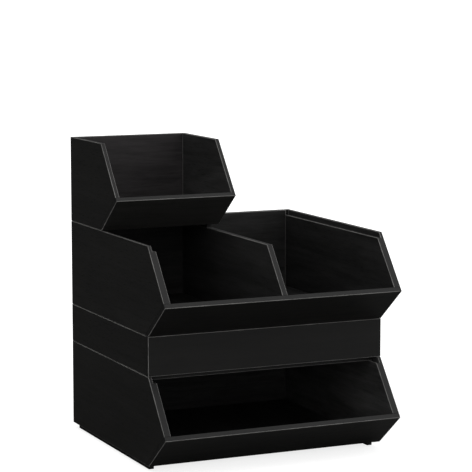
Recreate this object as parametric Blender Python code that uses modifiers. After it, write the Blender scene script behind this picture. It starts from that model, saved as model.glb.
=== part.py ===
"""Stackable desktop storage unit in black-stained wood.

Four open-fronted tiers stand on one another: an open bin, a tray with four compartments,
a bin with one divider, and a half-width small bin at the back left corner. Runners under each
tier stand in rebates cut along the inner top edges of the side boards below.
World axes: +X is the unit's right, -Y its front, +Z up. The floor is z = 0.
Panel outlines are drawn in the (forward, up) plane: forward is the distance from the back plane.
"""
import math

import bpy
import bmesh
from mathutils import Vector

# ---- Overall sizes, metres -------------------------------------------------------------
UNIT_WIDTH = 0.360
FOOT_DEPTH = 0.304
BIN_HEIGHT = 0.125
NOSE_HEIGHT = 0.048
TRAY_HEIGHT = 0.0555
SMALL_DEPTH = 0.128

# ---- Board thicknesses -----------------------------------------------------------------
SIDE_THICKNESS = 0.0100
BACK_THICKNESS = 0.0095
BIN_FRONT_THICKNESS = 0.0070
TRAY_FRONT_THICKNESS = 0.0095
SMALL_BOARD_THICKNESS = 0.0060
FLOOR_THICKNESS = 0.0060
BIN_DIVIDER_THICKNESS = 0.0080
TRAY_CENTRE_DIVIDER_THICKNESS = 0.0080
TRAY_OUTER_DIVIDER_THICKNESS = 0.0060

# ---- Runners under each tier, and the rebates that they stand in -----------------------
RUNNER_HEIGHT = 0.0075
RUNNER_WIDTH = 0.0080
RUNNER_REAR_SETBACK = 0.0105
RUNNER_FRONT_SETBACK = 0.0140
RUNNER_SIDE_CLEARANCE = 0.0007
RIM_LIP = 0.0048
REBATE_DEPTH = RUNNER_HEIGHT

# ---- Dividers, measured down from the rim ----------------------------------------------
BIN_DIVIDER_DROP = RUNNER_HEIGHT
TRAY_CENTRE_DIVIDER_DROP = 0.0030
TRAY_OUTER_DIVIDER_DROP = 0.0125
TRAY_DIVIDER_SPACING = UNIT_WIDTH / 4.0

# ---- Fits and edges --------------------------------------------------------------------
JOINT_GAP = 0.0003
ARRIS_WIDTH = 0.0007
ARRIS_SEGMENTS = 2
PLANE_TOLERANCE = 0.00002
WELD_DISTANCE = 0.00001

# ---- Stain colours, linear -------------------------------------------------------------
STAIN_FACE = (0.0130, 0.0125, 0.0120, 1.0)
STAIN_INSIDE = (0.0165, 0.0155, 0.0150, 1.0)
STAIN_UNDERSIDE = (0.0210, 0.0180, 0.0160, 1.0)
STAIN_ROUGHNESS = 0.48

# ---- Derived placement -----------------------------------------------------------------
RUNNER_INSET = RIM_LIP + RUNNER_SIDE_CLEARANCE
SMALL_WIDTH = (UNIT_WIDTH + BIN_DIVIDER_THICKNESS) / 2.0
NOSE_REACH = math.sqrt(NOSE_HEIGHT * (BIN_HEIGHT - NOSE_HEIGHT))
BACK_PLANE_Y = (FOOT_DEPTH + NOSE_REACH) / 2.0
LEFT_PLANE_X = -UNIT_WIDTH / 2.0
OPEN_BIN_BASE = RUNNER_HEIGHT
TRAY_BASE = OPEN_BIN_BASE + BIN_HEIGHT + JOINT_GAP
DIVIDED_BIN_BASE = TRAY_BASE + TRAY_HEIGHT + JOINT_GAP
SMALL_BIN_BASE = DIVIDED_BIN_BASE + BIN_HEIGHT + JOINT_GAP


def clear_scene():
    """Start from an empty file."""
    for existing in list(bpy.data.objects):
        bpy.data.objects.remove(existing, do_unlink=True)


def parts_collection():
    """Collection that holds every board of the unit."""
    collection = bpy.data.collections.new("cube_storage_unit")
    bpy.context.scene.collection.children.link(collection)
    return collection


def stain_material(name, color):
    """Black wood stain under a thin satin lacquer."""
    material = bpy.data.materials.new(name)
    material.use_nodes = True
    shader = material.node_tree.nodes["Principled BSDF"]
    shader.inputs["Base Color"].default_value = color
    shader.inputs["Roughness"].default_value = STAIN_ROUGHNESS
    return material


class Profile:
    """Side view of a bin: upright back, sloping mouth, and a front that leans out to a nose.

    The mouth's slope is square to the leaning front, so the front board's square-cut top edge
    lies in the plane of the mouth.
    """

    def __init__(self, depth, side_thickness, back_thickness, front_thickness):
        self.depth = depth
        self.side_thickness = side_thickness
        self.back_thickness = back_thickness
        self.front_thickness = front_thickness
        self.nose = Vector((depth + NOSE_REACH, NOSE_HEIGHT))
        self.lean = Vector((NOSE_REACH, NOSE_HEIGHT)).normalized()
        self.mouth = Vector((-NOSE_HEIGHT, NOSE_REACH)).normalized()

    def mouth_point(self, inset):
        """Point on the mouth line at a distance behind the front board's outer face."""
        return self.nose + self.mouth * inset

    def front_point(self, inset, level):
        """Point at a given height on the plane a distance behind the front board's outer face."""
        start = self.mouth_point(inset)
        return start - self.lean * ((start.y - level) / self.lean.y)

    def mouth_at_height(self, level):
        """Point of the mouth line at a given height."""
        return self.nose + self.mouth * ((level - self.nose.y) / self.mouth.y)


def extruded_board(name, outline, width, centre_x, base_z, material, collection):
    """Board cut to an outline in the (forward, up) plane, with its thickness along X."""
    curve = bpy.data.curves.new(name + "_outline", "CURVE")
    curve.dimensions = "2D"
    curve.fill_mode = "BOTH"
    curve.extrude = width / 2.0
    spline = curve.splines.new("POLY")
    spline.points.add(len(outline) - 1)
    for point, (forward, up) in zip(spline.points, outline):
        point.co = (-forward, up, 0.0, 1.0)
    spline.use_cyclic_u = True
    drawn = bpy.data.objects.new(name + "_outline", curve)
    bpy.context.scene.collection.objects.link(drawn)
    bpy.context.view_layer.update()
    mesh = bpy.data.meshes.new_from_object(drawn)
    bpy.data.objects.remove(drawn, do_unlink=True)
    mesh.name = name
    close_solid(mesh)
    board = bpy.data.objects.new(name, mesh)
    board.location = (centre_x, BACK_PLANE_Y, base_z)
    board.rotation_euler = (math.pi / 2.0, 0.0, math.pi / 2.0)
    mesh.materials.clear()
    mesh.materials.append(material)
    collection.objects.link(board)
    return board


def box_board(name, rear, front, low, high, width, centre_x, base_z, material, collection):
    """Square-cut board between two depths and two heights, centred across the tier."""
    mesh = bpy.data.meshes.new(name)
    solid = bmesh.new()
    bmesh.ops.create_cube(solid, size=1.0)
    bmesh.ops.scale(solid, vec=(width, front - rear, high - low), verts=solid.verts)
    solid.to_mesh(mesh)
    solid.free()
    board = bpy.data.objects.new(name, mesh)
    middle_y = BACK_PLANE_Y - (rear + front) / 2.0
    board.location = (centre_x, middle_y, base_z + (low + high) / 2.0)
    mesh.materials.append(material)
    collection.objects.link(board)
    return board


def close_solid(mesh):
    """Weld loose caps, merge flat faces and turn every normal outwards."""
    solid = bmesh.new()
    solid.from_mesh(mesh)
    bmesh.ops.remove_doubles(solid, verts=solid.verts, dist=WELD_DISTANCE)
    bmesh.ops.dissolve_limit(solid, angle_limit=math.radians(1.0), verts=solid.verts, edges=solid.edges)
    bmesh.ops.recalc_face_normals(solid, faces=solid.faces)
    solid.to_mesh(mesh)
    solid.free()


def box_between(name, low, high):
    """Box between two corners, for use as a cutter."""
    mesh = bpy.data.meshes.new(name)
    solid = bmesh.new()
    bmesh.ops.create_cube(solid, size=1.0)
    bmesh.ops.scale(solid, vec=high - low, verts=solid.verts)
    solid.to_mesh(mesh)
    solid.free()
    cutter = bpy.data.objects.new(name, mesh)
    cutter.location = (low + high) / 2.0
    bpy.context.scene.collection.objects.link(cutter)
    return cutter


def cut_rebate(board, sign, rim_z):
    """Cut the step along a side board's inner top edge, from the back board's face to the mouth.

    The sign is -1 for a left side board and +1 for a right one.
    """
    lip_x = board.location.x + sign * (SIDE_THICKNESS / 2.0 - RIM_LIP)
    clear_x = board.location.x - sign * SIDE_THICKNESS
    low = Vector((min(lip_x, clear_x), BACK_PLANE_Y - FOOT_DEPTH - NOSE_REACH, rim_z - REBATE_DEPTH))
    high = Vector((max(lip_x, clear_x), BACK_PLANE_Y - BACK_THICKNESS, rim_z + REBATE_DEPTH))
    cutter = box_between(board.name + "_rebate", low, high)
    rebate = board.modifiers.new("rebate", "BOOLEAN")
    rebate.operation = "DIFFERENCE"
    rebate.object = cutter
    bpy.context.view_layer.update()
    evaluated = board.evaluated_get(bpy.context.evaluated_depsgraph_get())
    mesh = bpy.data.meshes.new_from_object(evaluated)
    board.modifiers.clear()
    board.data = mesh
    bpy.data.objects.remove(cutter, do_unlink=True)
    close_solid(mesh)


def ease_arrises(board, joint_planes):
    """Round the board's exposed outer edges, leaving the edges that lie in a joint plane square.

    Each joint plane is (point, normal) in the board's own axes.
    """
    solid = bmesh.new()
    solid.from_mesh(board.data)
    weight = solid.edges.layers.float.new("bevel_weight_edge")
    for edge in solid.edges:
        in_joint = False
        for point, normal in joint_planes:
            distances = [abs((vertex.co - point).dot(normal)) for vertex in edge.verts]
            in_joint = in_joint or max(distances) < PLANE_TOLERANCE
        edge[weight] = 1.0 if edge.is_convex and not in_joint else 0.0
    solid.to_mesh(board.data)
    solid.free()
    bevel = board.modifiers.new("eased_arrises", "BEVEL")
    bevel.width = ARRIS_WIDTH
    bevel.segments = ARRIS_SEGMENTS
    bevel.limit_method = "WEIGHT"
    bevel.offset_type = "OFFSET"
    bevel.use_clamp_overlap = True


def outline_plane(first, second):
    """Joint plane of an extruded board, through two points of its outline."""
    along = Vector((-(second[0] - first[0]), second[1] - first[1], 0.0)).normalized()
    normal = Vector((along.y, -along.x, 0.0))
    return Vector((-first[0], first[1], 0.0)), normal


def box_plane(board, axis, sign):
    """Joint plane of a square-cut board: its face on one side along an axis (0, 1 or 2)."""
    normal = Vector((0.0, 0.0, 0.0))
    normal[axis] = sign
    reach = max(vertex.co[axis] for vertex in board.data.vertices)
    return normal * reach, normal


def add_bin_side(name, profile, sign, centre_x, base_z, carries_tier, collection):
    """Five-sided end board of a bin, cut back where the front board laps it."""
    lap = profile.front_thickness + JOINT_GAP
    lower = profile.front_point(lap, 0.0)
    upper = profile.mouth_point(lap)
    outline = [(0.0, 0.0), lower, upper, (profile.depth, BIN_HEIGHT), (0.0, BIN_HEIGHT)]
    material = stain_material(name + "_stain", STAIN_FACE)
    board = extruded_board(name, outline, profile.side_thickness, centre_x, base_z, material, collection)
    if carries_tier:
        cut_rebate(board, sign, base_z + BIN_HEIGHT)
    ease_arrises(board, [outline_plane(lower, upper)])


def add_bin_front(name, profile, width, centre_x, base_z, collection):
    """Leaning front board that laps the ends of both side boards."""
    thickness = profile.front_thickness
    inner_low = profile.front_point(thickness, 0.0)
    inner_high = profile.mouth_point(thickness)
    outline = [(profile.depth, 0.0), profile.nose, inner_high, inner_low]
    material = stain_material(name + "_stain", STAIN_FACE)
    board = extruded_board(name, outline, width, centre_x, base_z, material, collection)
    ease_arrises(board, [outline_plane(inner_low, inner_high)])


def add_back(name, thickness, height, inner_width, centre_x, base_z, collection):
    """Back board standing between the side boards."""
    material = stain_material(name + "_stain", STAIN_INSIDE)
    board = box_board(name, 0.0, thickness, 0.0, height, inner_width, centre_x, base_z,
                      material, collection)
    ease_arrises(board, [box_plane(board, 0, -1.0), box_plane(board, 0, 1.0)])


def add_bin_floor(name, profile, inner_width, centre_x, base_z, collection):
    """Floor board let in flush with the lower edges, its front edge cut to the front's lean."""
    lap = profile.front_thickness + JOINT_GAP
    rear = profile.back_thickness + JOINT_GAP
    low = profile.front_point(lap, 0.0)
    high = profile.front_point(lap, FLOOR_THICKNESS)
    outline = [(rear, 0.0), low, high, (rear, FLOOR_THICKNESS)]
    material = stain_material(name + "_stain", STAIN_INSIDE)
    extruded_board(name, outline, inner_width, centre_x, base_z, material, collection)


def add_bin_divider(name, profile, drop, thickness, centre_x, base_z, collection):
    """Upright divider with the sides' outline, kept a little below the rim."""
    lap = profile.front_thickness + JOINT_GAP
    rear = profile.back_thickness + JOINT_GAP
    foot = FLOOR_THICKNESS + JOINT_GAP
    top = BIN_HEIGHT - drop
    front_low = profile.front_point(lap, foot)
    front_high = profile.mouth_point(lap)
    crest = profile.mouth_at_height(top)
    outline = [(rear, foot), front_low, front_high, crest, (rear, top)]
    material = stain_material(name + "_stain", STAIN_INSIDE)
    board = extruded_board(name, outline, thickness, centre_x, base_z, material, collection)
    foot_joint = outline_plane((rear, foot), front_low)
    front_joint = outline_plane(front_low, front_high)
    rear_joint = outline_plane((rear, foot), (rear, top))
    ease_arrises(board, [foot_joint, front_joint, rear_joint])


def add_cleat(name, rear, front, width, centre_x, base_z, collection):
    """Square batten glued under a tier's floor, reaching down into the tier below."""
    material = stain_material(name + "_stain", STAIN_UNDERSIDE)
    board = box_board(name, rear, front, -RUNNER_HEIGHT, -JOINT_GAP, width, centre_x, base_z,
                      material, collection)
    ease_arrises(board, [box_plane(board, 2, 1.0)])


def add_runners(tier, width, centre_x, base_z, rear, front, collection):
    """Left and right runners, just inside the rim lips of the tier below."""
    offset = width / 2.0 - RUNNER_INSET - RUNNER_WIDTH / 2.0
    for side, sign in (("left", -1.0), ("right", 1.0)):
        name = tier + "_runner_" + side
        add_cleat(name, rear, front, RUNNER_WIDTH, centre_x + sign * offset, base_z, collection)


def add_bin_carcass(tier, profile, width, centre_x, base_z, carries_tier, collection):
    """The boards and runners that every bin has."""
    offset = (width - profile.side_thickness) / 2.0
    for side, sign in (("left", -1.0), ("right", 1.0)):
        name = tier + "_side_" + side
        add_bin_side(name, profile, sign, centre_x + sign * offset, base_z, carries_tier, collection)
    inner_width = width - 2.0 * (profile.side_thickness + JOINT_GAP)
    add_back(tier + "_back", profile.back_thickness, BIN_HEIGHT, inner_width, centre_x, base_z, collection)
    add_bin_front(tier + "_front", profile, width, centre_x, base_z, collection)
    add_bin_floor(tier + "_floor", profile, inner_width, centre_x, base_z, collection)
    runner_front = profile.depth - RUNNER_FRONT_SETBACK
    add_runners(tier, width, centre_x, base_z, RUNNER_REAR_SETBACK, runner_front, collection)


def full_width_profile():
    """Side view shared by the two full-width bins."""
    return Profile(FOOT_DEPTH, SIDE_THICKNESS, BACK_THICKNESS, BIN_FRONT_THICKNESS)


def add_open_bin(collection):
    """Lowest tier: a full-width bin with no divider."""
    add_bin_carcass("open_bin", full_width_profile(), UNIT_WIDTH, 0.0, OPEN_BIN_BASE, True, collection)


def add_divided_bin(collection):
    """Third tier: a full-width bin with a divider on its centre line."""
    profile = full_width_profile()
    add_bin_carcass("divided_bin", profile, UNIT_WIDTH, 0.0, DIVIDED_BIN_BASE, True, collection)
    add_bin_divider("divided_bin_divider", profile, BIN_DIVIDER_DROP, BIN_DIVIDER_THICKNESS,
                    0.0, DIVIDED_BIN_BASE, collection)


def add_small_bin(collection):
    """Top tier: a bin of lighter boards that reaches from the left side to the divider below."""
    profile = Profile(SMALL_DEPTH, SMALL_BOARD_THICKNESS, SMALL_BOARD_THICKNESS, SMALL_BOARD_THICKNESS)
    centre_x = LEFT_PLANE_X + SMALL_WIDTH / 2.0
    add_bin_carcass("small_bin", profile, SMALL_WIDTH, centre_x, SMALL_BIN_BASE, False, collection)


def add_tray_side(name, sign, collection):
    """Upright end board of the tray, lapped by the tray's front board."""
    centre_x = sign * (UNIT_WIDTH - SIDE_THICKNESS) / 2.0
    front = FOOT_DEPTH - TRAY_FRONT_THICKNESS - JOINT_GAP
    material = stain_material(name + "_stain", STAIN_FACE)
    board = box_board(name, 0.0, front, 0.0, TRAY_HEIGHT, SIDE_THICKNESS, centre_x, TRAY_BASE,
                      material, collection)
    joint = box_plane(board, 1, -1.0)
    cut_rebate(board, sign, TRAY_BASE + TRAY_HEIGHT)
    ease_arrises(board, [joint])


def add_tray_front(collection):
    """Upright front board across the tray's full width."""
    rear = FOOT_DEPTH - TRAY_FRONT_THICKNESS
    material = stain_material("tray_front_stain", STAIN_FACE)
    board = box_board("tray_front", rear, FOOT_DEPTH, 0.0, TRAY_HEIGHT, UNIT_WIDTH, 0.0, TRAY_BASE,
                      material, collection)
    ease_arrises(board, [box_plane(board, 1, 1.0)])


def add_tray_floor(inner_width, collection):
    """Tray floor let in between the four walls, flush with their lower edges."""
    rear = BACK_THICKNESS + JOINT_GAP
    front = FOOT_DEPTH - TRAY_FRONT_THICKNESS - JOINT_GAP
    material = stain_material("tray_floor_stain", STAIN_INSIDE)
    box_board("tray_floor", rear, front, 0.0, FLOOR_THICKNESS, inner_width, 0.0, TRAY_BASE,
              material, collection)


def add_tray_divider(name, drop, thickness, centre_x, collection):
    """Front-to-back divider standing on the tray floor."""
    rear = BACK_THICKNESS + JOINT_GAP
    front = FOOT_DEPTH - TRAY_FRONT_THICKNESS - JOINT_GAP
    foot = FLOOR_THICKNESS + JOINT_GAP
    material = stain_material(name + "_stain", STAIN_INSIDE)
    board = box_board(name, rear, front, foot, TRAY_HEIGHT - drop, thickness, centre_x, TRAY_BASE,
                      material, collection)
    joints = [box_plane(board, 2, -1.0), box_plane(board, 1, -1.0), box_plane(board, 1, 1.0)]
    ease_arrises(board, joints)


def add_tray_rails(collection):
    """Front and back rails that close the runners into a frame under the tray."""
    width = UNIT_WIDTH - 2.0 * RUNNER_INSET
    front = FOOT_DEPTH - RUNNER_FRONT_SETBACK
    add_cleat("tray_rail_front", front - RUNNER_WIDTH, front, width, 0.0, TRAY_BASE, collection)
    rear = RUNNER_REAR_SETBACK
    add_cleat("tray_rail_back", rear, rear + RUNNER_WIDTH, width, 0.0, TRAY_BASE, collection)


def add_tray(collection):
    """Second tier: a flat tray with three dividers."""
    inner_width = UNIT_WIDTH - 2.0 * (SIDE_THICKNESS + JOINT_GAP)
    add_tray_side("tray_side_left", -1.0, collection)
    add_tray_side("tray_side_right", 1.0, collection)
    add_back("tray_back", BACK_THICKNESS, TRAY_HEIGHT, inner_width, 0.0, TRAY_BASE, collection)
    add_tray_front(collection)
    add_tray_floor(inner_width, collection)
    add_tray_divider("tray_divider_left", TRAY_OUTER_DIVIDER_DROP, TRAY_OUTER_DIVIDER_THICKNESS,
                     -TRAY_DIVIDER_SPACING, collection)
    add_tray_divider("tray_divider_centre", TRAY_CENTRE_DIVIDER_DROP, TRAY_CENTRE_DIVIDER_THICKNESS,
                     0.0, collection)
    add_tray_divider("tray_divider_right", TRAY_OUTER_DIVIDER_DROP, TRAY_OUTER_DIVIDER_THICKNESS,
                     TRAY_DIVIDER_SPACING, collection)
    runner_rear = RUNNER_REAR_SETBACK + RUNNER_WIDTH + JOINT_GAP
    runner_front = FOOT_DEPTH - RUNNER_FRONT_SETBACK - RUNNER_WIDTH - JOINT_GAP
    add_runners("tray", UNIT_WIDTH, 0.0, TRAY_BASE, runner_rear, runner_front, collection)
    add_tray_rails(collection)


def main():
    """Build the four tiers, stacked."""
    clear_scene()
    collection = parts_collection()
    add_open_bin(collection)
    add_tray(collection)
    add_divided_bin(collection)
    add_small_bin(collection)


main()
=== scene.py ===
"""Looks for the stackable storage unit: black-stained wood boards, floor, light and camera."""
import math
from collections import namedtuple

import bmesh
import bpy
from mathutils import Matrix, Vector


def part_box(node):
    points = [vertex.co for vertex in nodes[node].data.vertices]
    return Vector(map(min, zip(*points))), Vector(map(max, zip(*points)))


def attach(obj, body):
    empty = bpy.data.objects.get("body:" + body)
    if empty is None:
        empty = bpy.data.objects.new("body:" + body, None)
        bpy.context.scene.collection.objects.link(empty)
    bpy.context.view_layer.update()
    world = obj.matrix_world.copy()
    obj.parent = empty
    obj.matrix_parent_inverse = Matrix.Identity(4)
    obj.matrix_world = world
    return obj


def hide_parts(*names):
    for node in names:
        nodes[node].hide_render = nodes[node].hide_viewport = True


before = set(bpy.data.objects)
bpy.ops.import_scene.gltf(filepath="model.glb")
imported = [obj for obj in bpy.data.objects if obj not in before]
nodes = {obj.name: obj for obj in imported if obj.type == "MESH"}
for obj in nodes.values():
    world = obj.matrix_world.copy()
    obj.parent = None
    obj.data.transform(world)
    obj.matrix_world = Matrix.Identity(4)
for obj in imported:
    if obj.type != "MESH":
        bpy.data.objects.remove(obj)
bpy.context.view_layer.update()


# =============================================================================================
# Node-tree helpers
# =============================================================================================
class Tree:
    """Short calls for building a node tree."""

    def __init__(self, tree):
        self.tree = tree

    def add(self, kind, **settings):
        made = self.tree.nodes.new(kind)
        for key, value in settings.items():
            setattr(made, key, value)
        return made

    def wire(self, source, target):
        self.tree.links.new(source, target)

    def feed(self, socket, value):
        """Link a socket to another one, or set its value."""
        if isinstance(value, bpy.types.NodeSocket):
            self.wire(value, socket)
        else:
            socket.default_value = value

    def math(self, operation, *values):
        made = self.add("ShaderNodeMath", operation=operation)
        for socket, value in zip(made.inputs, values):
            self.feed(socket, value)
        return made.outputs[0]

    def weighted_sum(self, weights, parts, start=0.0):
        """The sum of the named parts, each times its weight."""
        total = start
        for name, weight in weights.items():
            total = self.math("MULTIPLY_ADD", parts[name], weight, total)
        return total

    def dot(self, first, second):
        made = self.add("ShaderNodeVectorMath", operation="DOT_PRODUCT")
        self.feed(made.inputs[0], first)
        self.feed(made.inputs[1], second)
        return made.outputs["Value"]

    def length(self, vector):
        made = self.add("ShaderNodeVectorMath", operation="LENGTH")
        self.wire(vector, made.inputs[0])
        return made.outputs["Value"]

    def y_of(self, vector):
        made = self.add("ShaderNodeSeparateXYZ")
        self.wire(vector, made.inputs[0])
        return made.outputs["Y"]

    def mapping(self, source, location=(0, 0, 0), rotation=(0, 0, 0), scale=(1, 1, 1)):
        made = self.add("ShaderNodeMapping")
        self.wire(source, made.inputs["Vector"])
        made.inputs["Location"].default_value = location
        made.inputs["Rotation"].default_value = rotation
        made.inputs["Scale"].default_value = scale
        return made.outputs[0]

    def noise(self, source, scale, detail, roughness=0.5, distortion=0.0):
        made = self.add("ShaderNodeTexNoise")
        self.wire(source, made.inputs["Vector"])
        made.inputs["Scale"].default_value = scale
        made.inputs["Detail"].default_value = detail
        made.inputs["Roughness"].default_value = roughness
        made.inputs["Distortion"].default_value = distortion
        return made.outputs["Fac"]

    def remap(self, source, span, to=(0.0, 1.0)):
        """Straight change from to[0] at span[0] to to[1] at span[1]."""
        made = self.add("ShaderNodeMapRange")
        self.wire(source, made.inputs["Value"])
        made.inputs["From Min"].default_value, made.inputs["From Max"].default_value = span
        made.inputs["To Min"].default_value, made.inputs["To Max"].default_value = to
        return made.outputs[0]

    def smooth_step(self, source, span, to=(0.0, 1.0)):
        """The same change as remap makes, eased at both ends."""
        eased = self.remap(source, span, to)
        eased.node.interpolation_type = "SMOOTHSTEP"
        return eased

    def mix_color(self, factor, first, second):
        made = self.add("ShaderNodeMix", data_type="RGBA")
        self.feed(made.inputs["Factor"], factor)
        self.feed(made.inputs["A"], first)
        self.feed(made.inputs["B"], second)
        return made.outputs["Result"]

    def seen_or_lighting(self, seen, lighting):
        """One shader for what shows as the backdrop, another for the light that falls on the object."""
        path = self.add("ShaderNodeLightPath")
        mix = self.add("ShaderNodeMixShader")
        self.wire(path.outputs["Is Camera Ray"], mix.inputs[0])
        self.wire(lighting, mix.inputs[1])
        self.wire(seen, mix.inputs[2])
        return mix.outputs[0]


def opaque(color):
    return (color[0], color[1], color[2], 1.0)


def toned(color, strength):
    return opaque([channel * strength for channel in color])


# =============================================================================================
# Stained wood
# =============================================================================================
# A stain's darkest and palest colour.
Stain = namedtuple("Stain", "dark light")
OUTER = Stain((0.0072, 0.0071, 0.0067), (0.0119, 0.0117, 0.0110))
# The inner stains are paler than the outer one, partly the wood's own colour and partly painted light
# that brightens the shaded insides.
INNER = Stain((0.0110, 0.0109, 0.0108), (0.0340, 0.0336, 0.0332))
BROWN_INNER = Stain((0.0125, 0.0113, 0.0118), (0.0325, 0.0296, 0.0306))
FLOOR_BOARD = Stain((0.0047, 0.0045, 0.0045), (0.0203, 0.0195, 0.0195))
CLEAT = Stain((0.0105, 0.0103, 0.0101), (0.0235, 0.0231, 0.0226))
SAWN_EDGE = (0.0072, 0.0071, 0.0069)
# Pale colour on the arrises, partly edge wear and partly painted highlight, and the painted highlight in
# the inner back corners.
PALE_WEAR_AND_HIGHLIGHT = (0.200, 0.197, 0.191)

# Roughness in the darkest streaks, and how strongly the grain stands up.
Surface = namedtuple("Surface", "roughness relief")
SMOOTH = Surface(0.51, 0.10)
BRUSHED = Surface(0.53, 0.18)
COARSE = Surface(0.55, 0.16)

# A board's outer and inner stain, the factor that lightens or darkens each as painted light set per tier,
# and its surface.
Finish = namedtuple("Finish", "outer outer_tone inner inner_tone surface")

# Grain. Patterns are drawn out along the board, and each board starts elsewhere in them.
GRAIN_TURN = {"x": (0.0, 0.0, 0.0), "y": (0.0, 0.0, math.radians(90.0))}
GRAIN_START = (0.0, 0.05, 0.0)
GRAIN_STEP = (0.37, 0.23, 0.11)
FIGURE_STRETCH = (0.20, 1.0, 1.0)
FIBRE_STRETCH = (0.06, 1.0, 1.0)
SWIRL_SCALE = 22.0
RINGS_IN_SWIRL = 7.0
CLOUD_SCALE = 13.0
STREAK_SCALE = 150.0
FINE_SCALE = 620.0
PORE_SCALE = 1250.0
PORE_SPAN = (0.62, 0.72)
PORE_STRENGTH = 0.45
PORE_SHADE = 0.45

# How much each pattern gives to the stain's tone, to the roughness and to the height.
TONE_WEIGHTS = {"ring": 0.12, "streak": 0.34, "fine": 0.24, "cloud": 0.30}
ROUGHNESS_WEIGHTS = {"streak": -0.10, "pore": 0.14, "wear_and_highlight": -0.06}
HEIGHT_WEIGHTS = {"streak": 0.55, "fine": 0.35, "ring": 0.10, "pore": -0.60}
TONE_SPAN = (0.34, 0.66)
TONE_REACH = (-0.10, 1.10)
RELIEF_DEPTH = 0.0004

# Kinds of face, by the cosine between a face and the direction across its board.
INNER_FACE_SPAN = (0.60, 0.90)
SAWN_FACE_SPAN = (0.80, 0.45)
ARRIS_OFF_EDGE_SPAN = (0.06, 0.20)
ARRIS_OFF_FACE_SPAN = (0.985, 0.94)
SAWN_NOISE_SPAN = (0.3, 0.7)
SAWN_NOISE_REACH = (0.75, 1.0)
# Noise that breaks up the pale arrises, which are partly edge wear and partly painted highlight.
WEAR_HIGHLIGHT_NOISE_SCALE = 60.0
WEAR_HIGHLIGHT_NOISE_SPAN = (0.35, 0.65)
WEAR_HIGHLIGHT_NOISE_REACH = (0.55, 1.0)
ARRIS_ROUND_RADIUS = 0.0006

# Painted highlight: a pale line up each inner back corner, on the side board, by the distance from the
# back board's face.
PAINTED_CORNER_HIGHLIGHT_SPAN = (0.0022, 0.0008)
PAINTED_CORNER_HIGHLIGHT_REACH = (0.0, 0.60)

STAIN_SPECULAR = 0.25
STAIN_IOR = 1.48


def grain_patterns(t, coordinates, grain, seed):
    """The wood's patterns, from 0 to 1: rings, clouds, streaks, fine fibres, pores, and the noise that
    breaks up the pale arrises of wear and painted highlight.
    """
    shift = [start + step * seed for start, step in zip(GRAIN_START, GRAIN_STEP)]
    turned = t.mapping(coordinates, location=shift, rotation=GRAIN_TURN[grain])
    figure = t.mapping(turned, scale=FIGURE_STRETCH)
    fibre = t.mapping(turned, scale=FIBRE_STRETCH)
    swirl = t.noise(figure, SWIRL_SCALE, detail=4.0, roughness=0.60, distortion=0.8)
    return {
        "ring": t.math("PINGPONG", t.math("MULTIPLY", swirl, RINGS_IN_SWIRL), 1.0),
        "cloud": t.noise(figure, CLOUD_SCALE, detail=3.0, distortion=0.2),
        "streak": t.noise(fibre, STREAK_SCALE, detail=3.0, roughness=0.55),
        "fine": t.noise(fibre, FINE_SCALE, detail=2.0, roughness=0.6),
        "pore": t.smooth_step(t.noise(fibre, PORE_SCALE, detail=1.0), PORE_SPAN),
        "wear_highlight_noise": t.remap(t.noise(turned, WEAR_HIGHLIGHT_NOISE_SCALE, detail=3.0), WEAR_HIGHLIGHT_NOISE_SPAN, WEAR_HIGHLIGHT_NOISE_REACH),
    }


def stain_color(t, patterns, finish, across, inside):
    """The stain with its figure: outer or inner colour, sawn edges, and dark pores."""
    tone = t.remap(t.weighted_sum(TONE_WEIGHTS, patterns), TONE_SPAN, TONE_REACH)
    outer, inner = [
        t.mix_color(tone, toned(stain.dark, strength), toned(stain.light, strength))
        for stain, strength in ((finish.outer, finish.outer_tone), (finish.inner, finish.inner_tone))
    ]
    faces = t.mix_color(inside, outer, inner)
    sawn = t.math("MULTIPLY", t.smooth_step(across, SAWN_FACE_SPAN),
                  t.remap(patterns["fine"], SAWN_NOISE_SPAN, SAWN_NOISE_REACH))
    board = t.mix_color(sawn, faces, opaque(SAWN_EDGE))
    pore = t.math("MULTIPLY", patterns["pore"], PORE_STRENGTH)
    return t.mix_color(pore, board, toned(finish.outer.dark, PORE_SHADE))


def wear_and_painted_highlights(t, patterns, coordinates, across, inside, painted_highlight_corner_y):
    """Pale places: the arrises, partly bare wood from wear and partly painted highlight, and a painted
    highlight up a side board's inner back corner.
    """
    # Arrises: pale partly from edge wear and partly as painted highlight.
    arris = t.math("MULTIPLY", t.smooth_step(across, ARRIS_OFF_EDGE_SPAN),
                   t.smooth_step(across, ARRIS_OFF_FACE_SPAN))
    wear_and_highlight = t.math("MULTIPLY", arris, patterns["wear_highlight_noise"])
    if painted_highlight_corner_y is None:
        return wear_and_highlight
    # Painted highlight: a pale line up the inner back corner of a side board.
    from_corner = t.math("ABSOLUTE", t.math("SUBTRACT", t.y_of(coordinates), painted_highlight_corner_y))
    painted_corner_highlight = t.smooth_step(from_corner, PAINTED_CORNER_HIGHLIGHT_SPAN, PAINTED_CORNER_HIGHLIGHT_REACH)
    return t.math("MAXIMUM", wear_and_highlight, t.math("MULTIPLY", painted_corner_highlight, inside))


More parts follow.
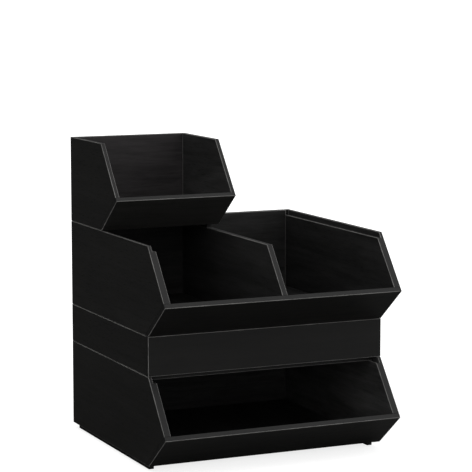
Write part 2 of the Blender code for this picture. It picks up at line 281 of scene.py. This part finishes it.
def stained_wood(name, finish, grain, seed, inward, painted_highlight_corner_y):
    """Black-stained board: growth rings, streaks, pores, sawn edges, arrises pale with wear and painted
    highlight, and a painted highlight up the inner back corners.
    """
    material = bpy.data.materials.new(name)
    material.use_nodes = True
    shader = material.node_tree.nodes["Principled BSDF"]
    t = Tree(material.node_tree)
    coordinates = t.add("ShaderNodeTexCoord").outputs["Object"]
    facing = t.dot(t.add("ShaderNodeNewGeometry").outputs["True Normal"], inward)
    across = t.math("ABSOLUTE", facing)
    inside = t.smooth_step(facing, INNER_FACE_SPAN)
    patterns = grain_patterns(t, coordinates, grain, seed)

    stain = stain_color(t, patterns, finish, across, inside)
    patterns["wear_and_highlight"] = wear_and_painted_highlights(t, patterns, coordinates, across, inside, painted_highlight_corner_y)
    # Pale colour mixed in: edge wear and painted highlight on the arrises, painted highlight in the inner
    # back corners.
    t.wire(t.mix_color(patterns["wear_and_highlight"], stain, opaque(PALE_WEAR_AND_HIGHLIGHT)), shader.inputs["Base Color"])
    t.wire(t.weighted_sum(ROUGHNESS_WEIGHTS, patterns, finish.surface.roughness),
           shader.inputs["Roughness"])

    bevel = t.add("ShaderNodeBevel", samples=4)
    bevel.inputs["Radius"].default_value = ARRIS_ROUND_RADIUS
    bump = t.add("ShaderNodeBump")
    bump.inputs["Strength"].default_value = finish.surface.relief
    bump.inputs["Distance"].default_value = RELIEF_DEPTH
    t.wire(t.weighted_sum(HEIGHT_WEIGHTS, patterns), bump.inputs["Height"])
    t.wire(bevel.outputs[0], bump.inputs["Normal"])
    t.wire(bump.outputs[0], shader.inputs["Normal"])

    shader.inputs["Specular IOR Level"].default_value = STAIN_SPECULAR
    shader.inputs["IOR"].default_value = STAIN_IOR
    return material


# =============================================================================================
# Boards
# =============================================================================================
TIERS = {
    "open_bin": ["side_left", "side_right", "back", "front", "floor", "runner_left", "runner_right"],
    "tray": ["side_left", "side_right", "back", "front", "floor", "divider_left", "divider_centre",
             "divider_right", "runner_left", "runner_right", "rail_front", "rail_back"],
    "divided_bin": ["side_left", "side_right", "back", "front", "floor", "divider", "runner_left",
                    "runner_right"],
    "small_bin": ["side_left", "side_right", "back", "front", "floor", "runner_left", "runner_right"],
}

# Painted light: the factor that lightens or darkens the stain of each tier's inner faces and front board,
# standing in for how much light reaches them.
INNER_PAINTED_LIGHT = {"open_bin": 1.60, "tray": 2.20, "divided_bin": 0.72, "small_bin": 1.02}
FRONT_PAINTED_LIGHT = {"open_bin": 1.30, "tray": 0.62, "divided_bin": 1.05, "small_bin": 2.70}

# From the outer to the inner face of a leaning front board.
LEANING_INWARD = (0.0, 0.62, 0.785)

# Mesh clean-up of the CAD boards.
WELD_DISTANCE = 0.000004
FLAT_ANGLE = math.radians(0.5)
CREASE_ANGLE = math.radians(48.0)
FLAT_FACE_WEIGHT = 100


def is_cleat(part):
    return part.startswith(("runner", "rail"))


def board_grain(part):
    """The axis that a board's grain runs along."""
    return "x" if part in ("back", "front", "rail_front", "rail_back") else "y"


def board_inward(tier, part):
    """The direction from a board's outer face to its inner face, across its thickness."""
    if part == "front" and tier != "tray":
        return LEANING_INWARD
    if part == "front":
        return (0.0, 1.0, 0.0)
    if part == "back":
        return (0.0, -1.0, 0.0)
    if part == "side_right":
        return (-1.0, 0.0, 0.0)
    if part.startswith(("side", "divider")):
        return (1.0, 0.0, 0.0)
    return (0.0, 0.0, 1.0)


def board_finish(tier, part):
    """The stain of one board's outer and inner faces."""
    # Painted light: the tier's factors lighten or darken its inner faces and its front board.
    tone = INNER_PAINTED_LIGHT[tier]
    if is_cleat(part):
        return Finish(CLEAT, 1.0, CLEAT, 1.0, COARSE)
    if part.startswith("divider"):
        return Finish(INNER, tone, INNER, tone, BRUSHED)
    if part == "floor":
        return Finish(OUTER, 1.0, FLOOR_BOARD, 1.0, SMOOTH)
    inner = BROWN_INNER if (tier, part) == ("small_bin", "back") else INNER
    outer_tone = FRONT_PAINTED_LIGHT[tier] if part == "front" else 1.0
    return Finish(OUTER, outer_tone, inner, tone, SMOOTH)


def smooth_mesh(source, name):
    """A welded copy of a CAD mesh, with its flat faces whole and its sharp edges marked."""
    solid = bmesh.new()
    solid.from_mesh(source)
    bmesh.ops.remove_doubles(solid, verts=solid.verts, dist=WELD_DISTANCE)
    bmesh.ops.dissolve_limit(solid, angle_limit=FLAT_ANGLE, verts=solid.verts, edges=solid.edges)
    bmesh.ops.recalc_face_normals(solid, faces=solid.faces)
    for edge in solid.edges:
        edge.smooth = edge.calc_face_angle(math.pi) < CREASE_ANGLE
    mesh = bpy.data.meshes.new(name)
    solid.to_mesh(mesh)
    solid.free()
    mesh.polygons.foreach_set("use_smooth", [True] * len(mesh.polygons))
    return mesh


def add_board(tier, part, seed):
    """A smooth-shaded board with its own grain, standing for the CAD board."""
    name = tier + "_" + part
    mesh = smooth_mesh(nodes[name].data, name + "_wood")
    board = bpy.data.objects.new(name + "_wood", mesh)
    bpy.context.scene.collection.objects.link(board)
    weighted = board.modifiers.new("flat_faces", "WEIGHTED_NORMAL")
    weighted.weight = FLAT_FACE_WEIGHT
    weighted.keep_sharp = True
    # The back board's inner face, where the painted corner highlight runs up the side boards.
    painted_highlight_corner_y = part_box(tier + "_back")[0][1] if part.startswith("side") else None
    mesh.materials.append(stained_wood(name + "_stain", board_finish(tier, part), board_grain(part), seed,
                                       board_inward(tier, part), painted_highlight_corner_y))
    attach(board, tier)
    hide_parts(name)


boards = [(tier, part) for tier, parts in TIERS.items() for part in parts]
for seed, (tier, part) in enumerate(boards, start=1):
    add_board(tier, part, seed)


# =============================================================================================
# Floor, light and camera
# =============================================================================================
WHITE = (1.0, 1.0, 1.0, 1.0)

# The floor as it shows: a grey that the light reaches, plus a glow that turns it white farther out.
FLOOR_HALF_SIZE = 60.0
FLOOR_DROP = 0.0002
FLOOR_GREY = (0.42, 0.42, 0.42, 1.0)
FLOOR_GLOW_RADII = (0.35, 0.95)
FLOOR_GLOW = (0.80, 1.02)

# The floor as it lights the object: it throws back more in front of the object than behind it.
FLOOR_BOUNCE_Y = (-0.55, 0.10)
FLOOR_BOUNCE = (0.30, 0.06)

AMBIENT = 0.06
# Broad soft patches of the world: direction, cosine where a patch starts, and its strength at the middle.
SkyLight = namedtuple("SkyLight", "direction start strength")
SKY_LIGHTS = {
    "over": SkyLight((0.10, -0.10, 0.99), 0.10, 0.95),
    "ahead": SkyLight((0.30, -0.94, 0.05), 0.30, 0.06),
    "left": SkyLight((-0.78, -0.60, 0.16), 0.60, 1.28),
    "right": SkyLight((0.88, -0.42, 0.20), 0.62, 1.60),
}

LAMP_PLACE = (-0.20, -0.60, 2.60)
LAMP_TARGET = (0.0, 0.0, 0.2)
LAMP_SIDE = 1.6
LAMP_WATTS = 6.0

LENS_MM = 152.54
SENSOR_MM = 36.0
CLIP_START = 0.1
CLIP_END = 200.0
CAMERA_PLACE = (-1.1807, -2.6110, 0.6821)
CAMERA_YAW = math.radians(24.456)
CAMERA_PITCH = math.radians(7.542)


def pale_floor():
    """Seen near white, with only a faint contact shadow round the object."""
    material = bpy.data.materials.new("pale_floor")
    material.use_nodes = True
    material.node_tree.nodes.clear()
    t = Tree(material.node_tree)
    place = t.add("ShaderNodeTexCoord").outputs["Object"]

    lit = t.add("ShaderNodeBsdfDiffuse")
    lit.inputs["Color"].default_value = FLOOR_GREY
    glow = t.add("ShaderNodeEmission")
    glow.inputs["Color"].default_value = WHITE
    t.wire(t.smooth_step(t.length(place), FLOOR_GLOW_RADII, FLOOR_GLOW), glow.inputs["Strength"])
    seen = t.add("ShaderNodeAddShader")
    t.wire(lit.outputs[0], seen.inputs[0])
    t.wire(glow.outputs[0], seen.inputs[1])

    bounce = t.smooth_step(t.y_of(place), FLOOR_BOUNCE_Y, FLOOR_BOUNCE)
    grey = t.add("ShaderNodeCombineColor")
    for channel in ("Red", "Green", "Blue"):
        t.wire(bounce, grey.inputs[channel])
    lighting = t.add("ShaderNodeBsdfDiffuse")
    t.wire(grey.outputs[0], lighting.inputs["Color"])

    out = t.add("ShaderNodeOutputMaterial")
    t.wire(t.seen_or_lighting(seen.outputs[0], lighting.outputs[0]), out.inputs["Surface"])
    return material


def add_floor():
    mesh = bpy.data.meshes.new("floor")
    solid = bmesh.new()
    bmesh.ops.create_grid(solid, x_segments=1, y_segments=1, size=FLOOR_HALF_SIZE)
    solid.to_mesh(mesh)
    solid.free()
    mesh.materials.append(pale_floor())
    floor = bpy.data.objects.new("floor", mesh)
    floor.location = (0.0, 0.0, -FLOOR_DROP)
    bpy.context.scene.collection.objects.link(floor)


def add_world():
    """Seen as a white studio. It lights the object from broad soft patches and an even glow."""
    world = bpy.data.worlds.new("studio")
    world.use_nodes = True
    world.node_tree.nodes.clear()
    t = Tree(world.node_tree)
    toward = t.add("ShaderNodeTexCoord").outputs["Generated"]
    level = AMBIENT
    for light in SKY_LIGHTS.values():
        facing = t.dot(toward, tuple(Vector(light.direction).normalized()))
        patch = t.smooth_step(facing, (light.start, 1.0), (0.0, light.strength))
        level = t.math("ADD", patch, level)
    seen = t.add("ShaderNodeBackground")
    seen.inputs["Color"].default_value = WHITE
    lighting = t.add("ShaderNodeBackground")
    lighting.inputs["Color"].default_value = WHITE
    t.wire(level, lighting.inputs["Strength"])
    out = t.add("ShaderNodeOutputWorld")
    t.wire(t.seen_or_lighting(seen.outputs[0], lighting.outputs[0]), out.inputs["Surface"])
    bpy.context.scene.world = world


def add_lamp():
    """A weak soft light overhead, a little in front of the object."""
    light = bpy.data.lights.new("overhead", "AREA")
    light.size = LAMP_SIDE
    light.energy = LAMP_WATTS
    lamp = bpy.data.objects.new("overhead", light)
    lamp.location = LAMP_PLACE
    direction = Vector(LAMP_TARGET) - Vector(LAMP_PLACE)
    lamp.rotation_euler = direction.to_track_quat("-Z", "Y").to_euler()
    bpy.context.scene.collection.objects.link(lamp)


def add_camera():
    """A long lens, to the left of the front and a little above it, at the photograph's angle."""
    data = bpy.data.cameras.new("camera")
    data.sensor_width = SENSOR_MM
    data.lens = LENS_MM
    data.clip_start = CLIP_START
    data.clip_end = CLIP_END
    camera = bpy.data.objects.new("camera", data)
    camera.location = CAMERA_PLACE
    camera.rotation_euler = (math.pi / 2.0 - CAMERA_PITCH, 0.0, -CAMERA_YAW)
    bpy.context.scene.collection.objects.link(camera)
    bpy.context.scene.camera = camera


add_floor()
add_world()
add_lamp()
add_camera()
bpy.context.scene.view_settings.view_transform = "Standard"
